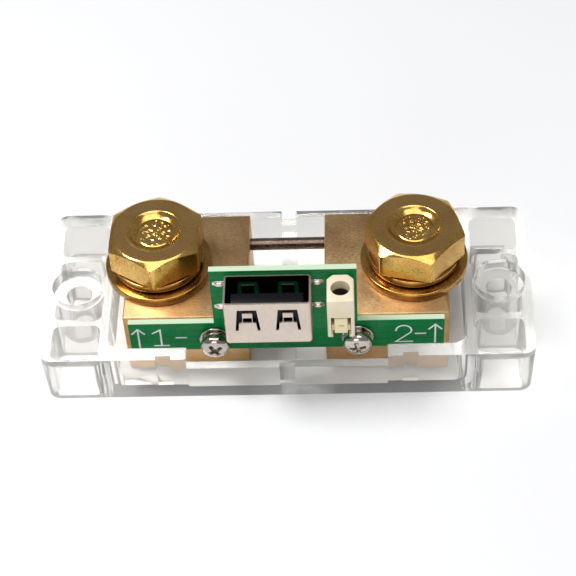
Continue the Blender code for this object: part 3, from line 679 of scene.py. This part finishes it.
class SHUNT_OT_bolts(bpy.types.Operator):
    """The hexagon bolts with dished heads and threaded shanks"""

    bl_idname = "shunt.bolts"
    bl_label = "Bolts"

    def execute(self, context):
        brass = context.scene.shunt_brass
        pitch = context.scene.shunt_sizes.thread_pitch
        # How far each head was left turned, in degrees
        turns = {"left": 28.0, "right": -13.0}
        for side, turn in turns.items():
            node = f"{side}_terminal_bolt"
            low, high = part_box(node)
            grid = bolt_grid(side, math.radians(turn), low, high, pitch)
            bolt = surface(f"{side}_bolt", grid, ends="poles")
            finish(bolt, f"{side}_bolt", "bright_brass", bolt_brass(brass, side, high.z), node)
        return {"FINISHED"}


def bolt_brass(brass, side, top):
    """Bright brass, tumbled after forging: soft gloss all over, matt on top of the head, where a brown
    painted shade, thinned by a grain, stands in for the dim room that the top reflects.
    """
    speckle = 0.35 * MM
    name = f"tumbled_brass_{side}"
    material = metal(name, brass.bolt, brass.bolt_dark, 0.3 * MM, roughness=(0.12, 0.2), bump=0.1)
    tree = material.node_tree
    around = (4.5 * MM, 6.42 * MM)
    upper = (top - 0.1 * MM, top + 0.1 * MM)
    face = ring_between(tree, BOLT_X * SIDES[side], 0.0, around, upper)
    coords = add(tree, "ShaderNodeTexCoord").outputs["Object"]
    grain = add(tree, "ShaderNodeTexNoise", {"Vector": coords, "Scale": 1.0 / speckle, "Detail": 3.0})
    cover = add(
        tree,
        "ShaderNodeMapRange",
        {"Value": grain.outputs["Fac"], "From Min": 0.3, "From Max": 0.75, "To Min": 0.9, "To Max": 0.45},
    )
    # Painted shade on the top face round the dish, thinned by the grain
    mask = add(tree, "ShaderNodeMath", {0: face, 1: cover.outputs["Result"]}, operation="MULTIPLY")
    over_masked(material, mask.outputs[0], brass.bolt_top_shade, 0.36)
    return material


def bolt_grid(side, turn, low, high, pitch):
    """A bolt as rings from the middle of its head to the end of its shank.

    On the head the outline radius is a soft minimum over the six flats, a / (sum of cos^p)^(1/p),
    where a is half the width across flats, and the top chamfer falls by tan 30 of the distance
    outside the top circle. The dish has a rough forged floor inside a small bead. On the shank the
    radius falls by a triangle wave of (height / pitch - angle / full turn), the thread's helix.
    """
    x = BOLT_X * SIDES[side]
    half_flats = 7.0 * MM
    head = 5.3 * MM
    top = high.z
    seat = top - head
    columns = 192
    angle = np.arange(columns) * TAU / columns
    normals = turn + math.radians(30.0) + np.arange(6) * TAU / 6
    cosines = np.maximum(np.cos(angle[None, :] - normals[:, None]), 0.0)
    sharpness = 70.0
    hexagon = half_flats / (cosines**sharpness).sum(axis=0) ** (1.0 / sharpness)
    top_circle = 6.75 * MM
    slope = math.tan(math.radians(30.0))
    rings = []

    def ring(radius, height):
        level = np.broadcast_to(height, angle.shape)
        rings.append(np.stack([x + radius * np.cos(angle), radius * np.sin(angle), level], axis=-1))

    floor = top - 0.64 * MM
    disc = 2.72 * MM
    lump_length = 1.1 * MM
    lump_height = 0.125 * MM
    for share in np.linspace(0.04, 1.0, 26):
        radius = disc * share
        # The name's length gives each side's dish its own lumps
        rough = lumps(radius * np.cos(angle), radius * np.sin(angle), lump_length, seed=len(side))
        fade = smooth_step((1.0 - share) / 0.1)
        ring(radius, floor + lump_height * rough * fade)
    # Radius and depth down the dish's wall, then over the bead round it, in mm
    wall = ((2.80, 0.67), (2.88, 0.73), (2.98, 0.76), (3.08, 0.74), (3.20, 0.69), (3.36, 0.60), (3.54, 0.50))
    lip = ((3.68, 0.41), (3.78, 0.33), (3.88, 0.24), (3.98, 0.15), (4.08, 0.06), (4.16, 0.0))
    bead = ((4.24, -0.04), (4.34, -0.05), (4.44, -0.03), (4.54, 0.0))
    for radius, depth in wall + lip + bead:
        ring(radius * MM, top - depth * MM)
    for radius in (4.8, 5.4, 6.0, 6.3):
        ring(radius * MM, top)
    # The turned edge of the top: how far inside the top circle, and how far down, in mm
    shoulder = ((0.36, 0.003), (0.26, 0.014), (0.16, 0.036), (0.06, 0.07), (-0.04, 0.115))
    for inside, depth in shoulder:
        ring(top_circle - inside * MM, top - depth * MM)
    edge = np.maximum(hexagon, top_circle + 0.05 * MM)
    outside = edge - top_circle
    fall = outside * slope + 0.09 * MM
    ring(edge - 0.10 * MM * outside / (1.3 * MM) - 0.03 * MM, top - fall + 0.02 * MM)
    ring(edge, top - fall - 0.05 * MM)
    ring(edge, top - fall - 0.25 * MM)
    for share in (0.5, 0.75):
        ring(edge, (top - fall) * (1 - share) + seat * share)
    ring(edge, seat + 0.32 * MM)
    ring(edge - 0.05 * MM, seat + 0.26 * MM)
    # The washer face under the head, then in to the shank: radius and height over the seat, in mm
    washer_face = ((6.8, 0.25), (6.76, 0.04), (6.7, 0.0), (4.4, 0.0), (4.06, 0.0))
    for radius, height in washer_face:
        ring(radius * MM, seat + height * MM)
    end = low.z
    shank = 3.98 * MM
    thread_depth = 0.72 * MM
    plain_length = 2.2 * MM
    steps = int((seat - end) / (pitch / 12))
    for height in np.linspace(seat - 0.02 * MM, end, steps):
        phase = (height - end) / pitch - angle / TAU
        wave = np.abs((phase % 1.0) * 2.0 - 1.0)
        depth = thread_depth * smooth_step(wave * 1.15 - 0.1)
        plain = smooth_step((height - (seat - plain_length)) / (1.0 * MM))
        taper = 0.8 * MM * smooth_step(1.0 - (height - end) / (1.0 * MM))
        ring(np.minimum(shank - depth * (1.0 - plain), shank - taper), height)
    return np.array(rings)


class SHUNT_OT_washers(bpy.types.Operator):
    """The flat and spring washers under the bolts and the board screws"""

    bl_idname = "shunt.washers"
    bl_label = "Washers"

    def execute(self, context):
        brass = context.scene.shunt_brass
        # Stamped brass: satin, with a rolled edge and coppery staining
        dull = brass.washer_dark
        stamped = metal("stamped_brass", brass.washer, dull, 0.25 * MM, roughness=(0.2, 0.28), bump=0.025)
        hole = 4.2 * MM
        for side in SIDES:
            low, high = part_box(f"{side}_flat_washer")
            middle = (low + high) / 2
            centre = (middle.x, middle.y, low.z)
            thick = high.z - low.z
            flat = flat_washer(f"{side}_large_washer", centre, middle.x - low.x, hole, thick, "Z")
            finish(flat, f"{side}_washers", "washer_brass", stamped, f"{side}_flat_washer")
            low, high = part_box(f"{side}_spring_washer")
            centre = ((low.x + high.x) / 2, 0.0, low.z)
            room = high.z - low.z
            name = f"{side}_lock_washer"
            coil = spring_washer(name, centre, 7.3 * MM, hole, 1.2 * MM, room, -20.0, "Z")
            finish(coil, f"{side}_washers", "washer_brass", stamped, f"{side}_spring_washer")
        plated = nickel(context)
        hole = 1.35 * MM
        for side in SIDES:
            low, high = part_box(f"{side}_board_flat_washer")
            middle = (low + high) / 2
            centre = (middle.x, high.y, middle.z)
            thick = high.y - low.y
            flat = flat_washer(f"{side}_small_washer", centre, 2.5 * MM, hole, thick, "-Y")
            finish(flat, "base", "nickel_screw", plated, f"{side}_board_flat_washer")
            low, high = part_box(f"{side}_board_spring_washer")
            centre = (middle.x, high.y, middle.z)
            room = high.y - low.y
            name = f"{side}_small_lock_washer"
            coil = spring_washer(name, centre, 2.1 * MM, hole, 0.5 * MM, room, 65.0, "-Y")
            finish(coil, "base", "nickel_screw", plated, f"{side}_board_spring_washer")
        return {"FINISHED"}


def flat_washer(name, centre, outer, inner, thick, axis):
    """A stamped ring: a rectangle with rounded corners carried round the axis."""
    loop = rounded_loop(outer - inner, thick, min(0.22 * thick, 0.28 * MM))
    radius = (outer + inner) / 2 + loop[:, 0]
    height = thick / 2 + loop[:, 1]
    return surface(name, revolve(radius, height, centre, axis), wrap_rows=True)


def spring_washer(name, centre, outer, inner, thick, room, split, axis):
    """A split ring: a rounded section carried round one turn while it climbs to fill its room.

    The split is the angle in degrees that the 14 degree opening stands at.
    """
    opening = math.radians(14.0)
    start = math.radians(split) + opening / 2
    angle = start + np.linspace(0.0, TAU - opening, 97)
    rise = room - thick
    climb = rise * (angle - start) / (TAU - opening)
    loop = rounded_loop(outer - inner, thick, 0.2 * thick)
    radius = (outer + inner) / 2 + loop[:, 0]
    across = radius[None, :] * np.cos(angle)[:, None]
    up = radius[None, :] * np.sin(angle)[:, None]
    height = thick / 2 + loop[:, 1][None, :] + climb[:, None]
    grid = placed(across, up, height, centre, axis)
    return surface(name, grid, ends="caps")


def nickel(context):
    """Nickel-plated steel of the small screws: bright, with a faint tumble haze."""
    found = bpy.data.materials.get("nickel_plate")
    if found:
        return found
    metals = context.scene.shunt_metals
    return metal("nickel_plate", metals.screw, linear("A59C91"), 0.2 * MM, roughness=(0.08, 0.16), bump=0.1)


class SHUNT_OT_board(bpy.types.Operator):
    """The green sensing board"""

    bl_idname = "shunt.board"
    bl_label = "Board"

    def execute(self, context):
        plastics = context.scene.shunt_plastics
        mask = solder_mask(plastics.mask, plastics.mask_dark, plastics.laminate)
        board = refined("circuit_board", "sensing_board", 0.06 * MM, segments=1)
        finish(board, "base", "board_green", mask, "circuit_board")
        return {"FINISHED"}


class SHUNT_OT_printing(bpy.types.Operator):
    """The white marks printed on the board: a digit, a minus sign and an arrow at each end"""

    bl_idname = "shunt.printing"
    bl_label = "Printed marks"

    def execute(self, context):
        # Screen-printed legend ink: matte white, a little uneven
        ink = moulded("legend_ink", context.scene.shunt_plastics.ink, linear("CFE3D8"), 0.6, 0.1 * MM)
        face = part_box("circuit_board")[0].y
        middle = 10.1
        # Each mark is a list of lines, each line its corners in mm about the mark's middle
        arrow = [[(0.0, -2.1), (0.0, 2.1)], [(-0.95, 1.05), (0.0, 2.1), (0.95, 1.05)]]
        one = [[(-1.1, 1.15), (0.1, 1.9), (0.1, -1.85)], [(-1.0, -1.85), (1.2, -1.85)]]
        bowl = [(-1.2 * math.cos(a), 0.8 + 1.15 * math.sin(a)) for a in np.linspace(0.0, 1.15 * math.pi, 14)]
        two = [bowl + [(-1.25, -1.9), (1.35, -1.9)]]
        minus = [[(-0.75, 0.0), (0.75, 0.0)]]
        marks = (
            (-23.2, arrow),
            (-19.8, one),
            (-16.5, minus),
            (18.3, two),
            (20.9, minus),
            (23.2, arrow),
        )
        stroke = context.scene.shunt_sizes.stroke
        pieces = []
        for x, lines in marks:
            for line in lines:
                points = [((x + a) * MM, (middle + b) * MM) for a, b in line]
                pieces.append(printed_stroke(points, face, stroke))
        finish(joined("printed_marks", pieces), "base", "board_green", ink)
        return {"FINISHED"}


def printed_stroke(points, face, width):
    """A thin raised line: a flat-bottomed oval section carried along a path on the board's face."""
    path = np.array(points)
    ahead = np.vstack([path[1:] - path[:-1], path[-1:] - path[-2:-1]])
    ahead /= np.linalg.norm(ahead, axis=1)[:, None]
    before = np.vstack([ahead[:1], ahead[:-1]])
    before[-1] = ahead[-1]
    middle = ahead + before
    middle /= np.linalg.norm(middle, axis=1)[:, None]
    stretch = np.clip(1.0 / np.maximum((middle * ahead).sum(axis=1), 0.4), 1.0, 2.0)
    across = np.stack([-middle[:, 1], middle[:, 0]], axis=-1) * stretch[:, None]
    ends = path.copy()
    ends[0] -= ahead[0] * width / 2
    ends[-1] += ahead[-1] * width / 2
    section = ((-0.5, 0.0), (-0.42, 0.8), (-0.2, 1.0), (0.2, 1.0), (0.42, 0.8), (0.5, 0.0))
    sunk = 0.004 * MM
    tall = 0.028 * MM
    grid = np.zeros((len(path), len(section), 3))
    for index, (side, height) in enumerate(section):
        spot = ends + across * (side * width)
        grid[:, index, 0] = spot[:, 0]
        grid[:, index, 2] = spot[:, 1]
        grid[:, index, 1] = face + sunk - tall * height
    return surface("stroke", grid, ends="caps")


class SHUNT_OT_solder(bpy.types.Operator):
    """The solder fillets round the socket's legs and the terminal's pin"""

    bl_idname = "shunt.solder"
    bl_label = "Solder"

    def execute(self, context):
        # Tin solder: bright, smooth and slightly rippled where it froze
        colour = context.scene.shunt_metals.solder
        tin = metal("tin_solder", colour, linear("C9C2B8"), 0.4 * MM, roughness=(0.2, 0.34), bump=0.25)
        board_low, board_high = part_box("circuit_board")
        shell_low, shell_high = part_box("usb_shell")
        pin_x = 8.67
        # Each joint: x and z, half width and half height, and how far it stands out of the face, in mm
        front = []
        back = [(pin_x, 17.2, 0.8, 0.6, 0.66)]
        for x, side in ((shell_low.x / MM, -1.0), (shell_high.x / MM, 1.0)):
            for z in (17.4, 22.6):
                front.append((x + side * 0.85, z, 1.1, 0.62, -0.45))
                back.append((x - side * 0.15, z, 0.7, 0.9, 0.62))
        pieces = [solder_dome(board_low.y, *joint) for joint in front]
        pieces += [solder_dome(board_high.y, *joint) for joint in back]
        finish(joined("solder_fillets", pieces), "base", "board_green", tin)
        return {"FINISHED"}


def solder_dome(face, x, z, wide, tall, height):
    """A fillet: rings of a superellipse that shrink while they rise, concave at the foot, round on top."""
    share = np.array([1.0, 0.97, 0.88, 0.74, 0.62, 0.52, 0.42, 0.30, 0.16])
    rise = np.array([-0.05, 0.02, 0.10, 0.26, 0.48, 0.70, 0.86, 0.96, 1.0])
    power = 0.7
    angle = np.arange(28) * TAU / 28
    cosine = np.cos(angle)
    sine = np.sin(angle)
    grid = np.zeros((len(share), len(angle), 3))
    grid[..., 0] = (x + wide * share[:, None] * np.sign(cosine) * np.abs(cosine) ** power) * MM
    grid[..., 2] = (z + tall * share[:, None] * np.sign(sine) * np.abs(sine) ** power) * MM
    grid[..., 1] = face + height * MM * rise[:, None]
    return surface("solder", grid, ends="poles", crease=80.0)


class SHUNT_OT_screws(bpy.types.Operator):
    """The board's screws and the base's screws"""

    bl_idname = "shunt.screws"
    bl_label = "Screws"

    def execute(self, context):
        plated = nickel(context)
        # How far each cross recess was left turned, in degrees
        tilts = {"left": 35.0, "right": 10.0}
        for side, tilt in tilts.items():
            node = f"{side}_board_screw"
            grid = pan_screw(node, math.radians(tilt))
            screw = surface(f"{side}_pan_screw", grid, ends="poles", crease=40.0)
            finish(screw, "base", "nickel_screw", plated, node)
            coat(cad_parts[f"{side}_base_screw"], plated)
        return {"FINISHED"}


def pan_screw(node, tilt):
    """A pan head screw as rings from the middle of its head to the tip of its shank.

    The head's height is a superellipse of the radius over a short rim. The cross recess is the
    larger of two crossed bars, each a product of smooth steps across and along it.
    """
    low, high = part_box(node)
    head = (high.x - low.x) / 2
    tall = 1.75 * MM
    rim = 0.38
    power = 2.3
    seat = low.y + tall
    centre = ((low.x + high.x) / 2, seat, (low.z + high.z) / 2)
    columns = 96
    angle = np.arange(columns) * TAU / columns
    edge = [2.1, 2.17, 2.22, 2.25]
    radius = np.concatenate([np.linspace(0.03, 1.5, 30), np.linspace(1.58, 2.0, 6), edge]) * MM
    share = np.clip(radius / head, 0.0, 1.0)
    height = tall * (rim + (1.0 - rim) * (1.0 - share**power) ** (1.0 / power))
    r, a = np.meshgrid(radius, angle - tilt, indexing="ij")
    u = np.abs(r * np.cos(a))
    v = np.abs(r * np.sin(a))

    def bar(across, along):
        narrow = 1.0 - smooth_step((across - 0.2 * MM) / (0.16 * MM))
        short = 1.0 - smooth_step((along - 0.95 * MM) / (0.4 * MM))
        return narrow * short

    recess = 0.95 * MM * np.maximum(bar(u, v), bar(v, u)) * (1.0 - 0.3 * r / (1.4 * MM))
    end = high.y - seat
    # Under the head and down the shank, each ring's radius and place along the screw
    shank = 1.25
    tail_radius = np.array([2.25, 2.22, 2.15, 1.3, shank, shank, 0.85, 0.5]) * MM
    tail_along = np.array([0.25, 0.08, 0.0, 0.0, -0.06, 0.45, 0.05, 0.0]) * MM
    tail_along[-3:] -= end
    all_radius = np.concatenate([radius, tail_radius])[:, None]
    tail = np.broadcast_to(tail_along[:, None], (len(tail_along), columns))
    along = np.concatenate([height[:, None] - recess, tail])
    return placed(all_radius * np.cos(angle), all_radius * np.sin(angle), along, centre, "-Y")


class SHUNT_OT_socket(bpy.types.Operator):
    """The USB-A socket: shell, insulator and contacts"""

    bl_idname = "shunt.socket"
    bl_label = "Socket"

    def execute(self, context):
        metals = context.scene.shunt_metals
        plastics = context.scene.shunt_plastics
        # Nickel-plated sheet: rolled, satin, warm grey
        sheet = metal(
            "plated_sheet",
            metals.shell,
            linear("CDBFB3"),
            0.25 * MM,
            roughness=(0.30, 0.42),
            bump=0.08,
            stretch=(1.0, 1.0, 0.3),
        )
        shell = refined("usb_shell", "socket_shell")
        low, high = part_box("usb_shell")
        middle = (low + high) / 2
        # Each spring leaf ends in a narrow tip: a gap over it, one on each side, and a slot across it.
        # Each is left and right of the leaf's middle, then top and foot under the rim, in mm.
        gaps = (
            (-1.36, 1.36, 1.33, 2.6),
            (-1.06, -0.78, 2.5, 4.2),
            (0.78, 1.06, 2.5, 4.2),
            (-0.69, 0.69, 3.4, 4.2),
        )
        for leaf in (-3.05, 3.05):
            for left, right, top, foot in gaps:
                start = Vector((middle.x + (leaf + left) * MM, low.y - 0.1 * MM, high.z - foot * MM))
                carve(shell, start, start + Vector((right - left, 1.2, foot - top)) * MM)
        round_edges(shell, 0.05 * MM, 2)
        shade_inside(sheet, middle)
        finish(shell, "base", "nickel_shell", sheet, "usb_shell")
        # Black nylon: moulded dull, so that it stays dark inside the shell
        black = moulded("black_nylon", plastics.black, linear("08090E"), 0.4, 0.15 * MM, specular=0.2)
        block = refined("usb_insulator", "socket_insulator", 0.05 * MM, segments=2)
        finish(block, "base", "black_nylon", black, "usb_insulator")
        # Gold flash over nickel: thin, warm and softly glossy
        dull = linear("B98A3C")
        gold = metal("gold_flash", metals.contact, dull, 0.2 * MM, roughness=(0.2, 0.3), bump=0.05)
        for index in range(1, 5):
            coat(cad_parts[f"usb_contact_{index}"], gold)
        return {"FINISHED"}


def carve(obj, low, high):
    """Cut a box out of a piece with an exact Boolean, then drop the box."""
    bm = bmesh.new()
    bmesh.ops.create_cube(bm, size=1.0, matrix=Matrix.LocRotScale((low + high) / 2, None, high - low))
    mesh = bpy.data.meshes.new("cutter")
    bm.to_mesh(mesh)
    bm.free()
    cutter = bpy.data.objects.new("cutter", mesh)
    bpy.context.scene.collection.objects.link(cutter)
    modifier = obj.modifiers.new("Carve", "BOOLEAN")
    modifier.operation = "DIFFERENCE"
    modifier.solver = "EXACT"
    modifier.object = cutter
    graph = bpy.context.evaluated_depsgraph_get()
    carved = bpy.data.meshes.new_from_object(obj.evaluated_get(graph))
    obj.modifiers.clear()
    carved.shade_smooth()
    carved.set_sharp_from_angle(angle=math.radians(SHARP))
    obj.data = carved
    bpy.data.objects.remove(cutter, do_unlink=True)


def shade_inside(material, middle):
    """Painted shade on the plating where the sheet faces the socket's middle, for the shadow of the black
    insulator: the normal points against the way out.
    """
    tree = material.node_tree
    outwards, _ = from_axis(tree, middle.x, middle.y)
    normal = add(tree, "ShaderNodeNewGeometry").outputs["True Normal"]
    facing = add(tree, "ShaderNodeVectorMath", {0: outwards, 1: normal}, operation="DOT_PRODUCT")
    inside = add(tree, "ShaderNodeMath", {0: facing.outputs["Value"], 1: -0.5 * MM}, operation="LESS_THAN")
    # Dark grey painted shade inside the shell
    over_masked(material, inside.outputs[0], linear("2A2724"), 0.45)


class SHUNT_OT_wire_terminal(bpy.types.Operator):
    """The cream push-in terminal with its tab, clamp and pin"""

    bl_idname = "shunt.wire_terminal"
    bl_label = "Wire terminal"

    def execute(self, context):
        plastics = context.scene.shunt_plastics
        # Cream nylon: moulded, satin, lets a little light into its edges
        cream = moulded("cream_nylon", plastics.cream, linear("E9DCBC"), 0.42, 0.12 * MM, subsurface=0.15)
        # Tab nylon: the same plastic, a little brighter and yellower than the housing
        pale = moulded("tab_nylon", plastics.cream_tab, linear("EFDDAE"), 0.40, 0.12 * MM, subsurface=0.15)
        outside = 0.1 * MM
        body = refined("lead_terminal_body", "wire_terminal_housing")
        low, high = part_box("lead_terminal_body")
        middle = (low + high) / 2
        # The housing's foot is open in front, under the tab
        start = Vector((middle.x - 1.25 * MM, low.y - outside, low.z - outside))
        carve(body, start, start + Vector((2.5 * MM, 1.6 * MM, 0.8 * MM)))
        round_edges(body, 0.06 * MM, 2)
        shade_hole(cream, middle.x, low.y + 2.65 * MM, high.z - 1.7 * MM)
        finish(body, "base", "cream_nylon", cream, "lead_terminal_body")
        tab = refined("release_tab", "wire_release_tab")
        low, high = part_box("release_tab")
        middle = (low + high) / 2
        # A short dash is pressed into the tab for a screwdriver's tip
        start = Vector((middle.x - 0.42 * MM, low.y - outside, high.z - 1.75 * MM))
        carve(tab, start, start + Vector((0.84, 0.5, 0.3)) * MM)
        round_edges(tab, 0.04 * MM, 1)
        finish(tab, "release_tab", "cream_nylon", pale, "release_tab")
        # Tin plate on spring steel: grey, softly bright
        dull = linear("9C9C9A")
        tin = metal("tin_plate", linear("CFCFCD"), dull, 0.2 * MM, roughness=(0.25, 0.4), bump=0.1)
        for node in ("lead_terminal_clamp", "lead_terminal_pin"):
            coat(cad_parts[node], tin)
        return {"FINISHED"}


def shade_hole(material, x, y, top):
    """Brown shade inside the wire hole, where little light reaches: a ring of depths under its funnel."""
    around = (-1.0, 1.62 * MM)
    mask = ring_between(material.node_tree, x, y, around, (top - 2.4 * MM, top))
    over_masked(material, mask, linear("3A2A1C"), 0.5)


class SHUNT_OT_electronics(bpy.types.Operator):
    """The chips, capacitors and resistors on the back of the board"""

    bl_idname = "shunt.electronics"
    bl_label = "Electronics"

    def execute(self, context):
        # Black epoxy: moulded round each chip, matt and faintly rough
        epoxy = moulded("black_epoxy", linear("1C1C1E"), linear("151517"), 0.55, 0.1 * MM, bump=0.2)
        # Tan ceramic: fired capacitor body, dull
        ceramic = moulded("tan_ceramic", linear("B79A77"), linear("A2835F"), 0.5, 0.15 * MM)
        chips = ("sense_amplifier", "controller_chip", "voltage_regulator")
        for node in (*chips, "sense_resistor_left", "sense_resistor_right"):
            coat(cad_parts[node], epoxy)
        for node in ("input_capacitor", "output_capacitor"):
            coat(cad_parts[node], ceramic)
        return {"FINISHED"}


STEPS = (
    SHUNT_OT_stage,
    SHUNT_OT_base,
    SHUNT_OT_blocks,
    SHUNT_OT_bolts,
    SHUNT_OT_washers,
    SHUNT_OT_board,
    SHUNT_OT_printing,
    SHUNT_OT_solder,
    SHUNT_OT_screws,
    SHUNT_OT_socket,
    SHUNT_OT_wire_terminal,
    SHUNT_OT_electronics,
)


class SHUNT_PT_looks(bpy.types.Panel):
    """Lists the shunt's pieces"""

    bl_idname = "SHUNT_PT_looks"
    bl_label = "Shunt looks"
    bl_space_type = "VIEW_3D"
    bl_region_type = "UI"
    bl_category = "Shunt"

    def draw(self, context):
        for step in STEPS:
            self.layout.operator(step.bl_idname)


SETTINGS = {
    "shunt_brass": ShuntBrassSettings,
    "shunt_plastics": ShuntPlasticSettings,
    "shunt_metals": ShuntMetalSettings,
    "shunt_sizes": ShuntSizeSettings,
}


def register():
    for settings in SETTINGS.values():
        bpy.utils.register_class(settings)
    for step in STEPS:
        bpy.utils.register_class(step)
    bpy.utils.register_class(SHUNT_PT_looks)
    for name, settings in SETTINGS.items():
        setattr(bpy.types.Scene, name, bpy.props.PointerProperty(type=settings))


def unregister():
    for name in SETTINGS:
        delattr(bpy.types.Scene, name)
    bpy.utils.unregister_class(SHUNT_PT_looks)
    for step in reversed(STEPS):
        bpy.utils.unregister_class(step)
    for settings in SETTINGS.values():
        bpy.utils.unregister_class(settings)


def main():
    """Register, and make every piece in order."""
    register()
    for step in STEPS:
        group, name = step.bl_idname.split(".")
        getattr(getattr(bpy.ops, group), name)()


if __name__ == "__main__":
    main()
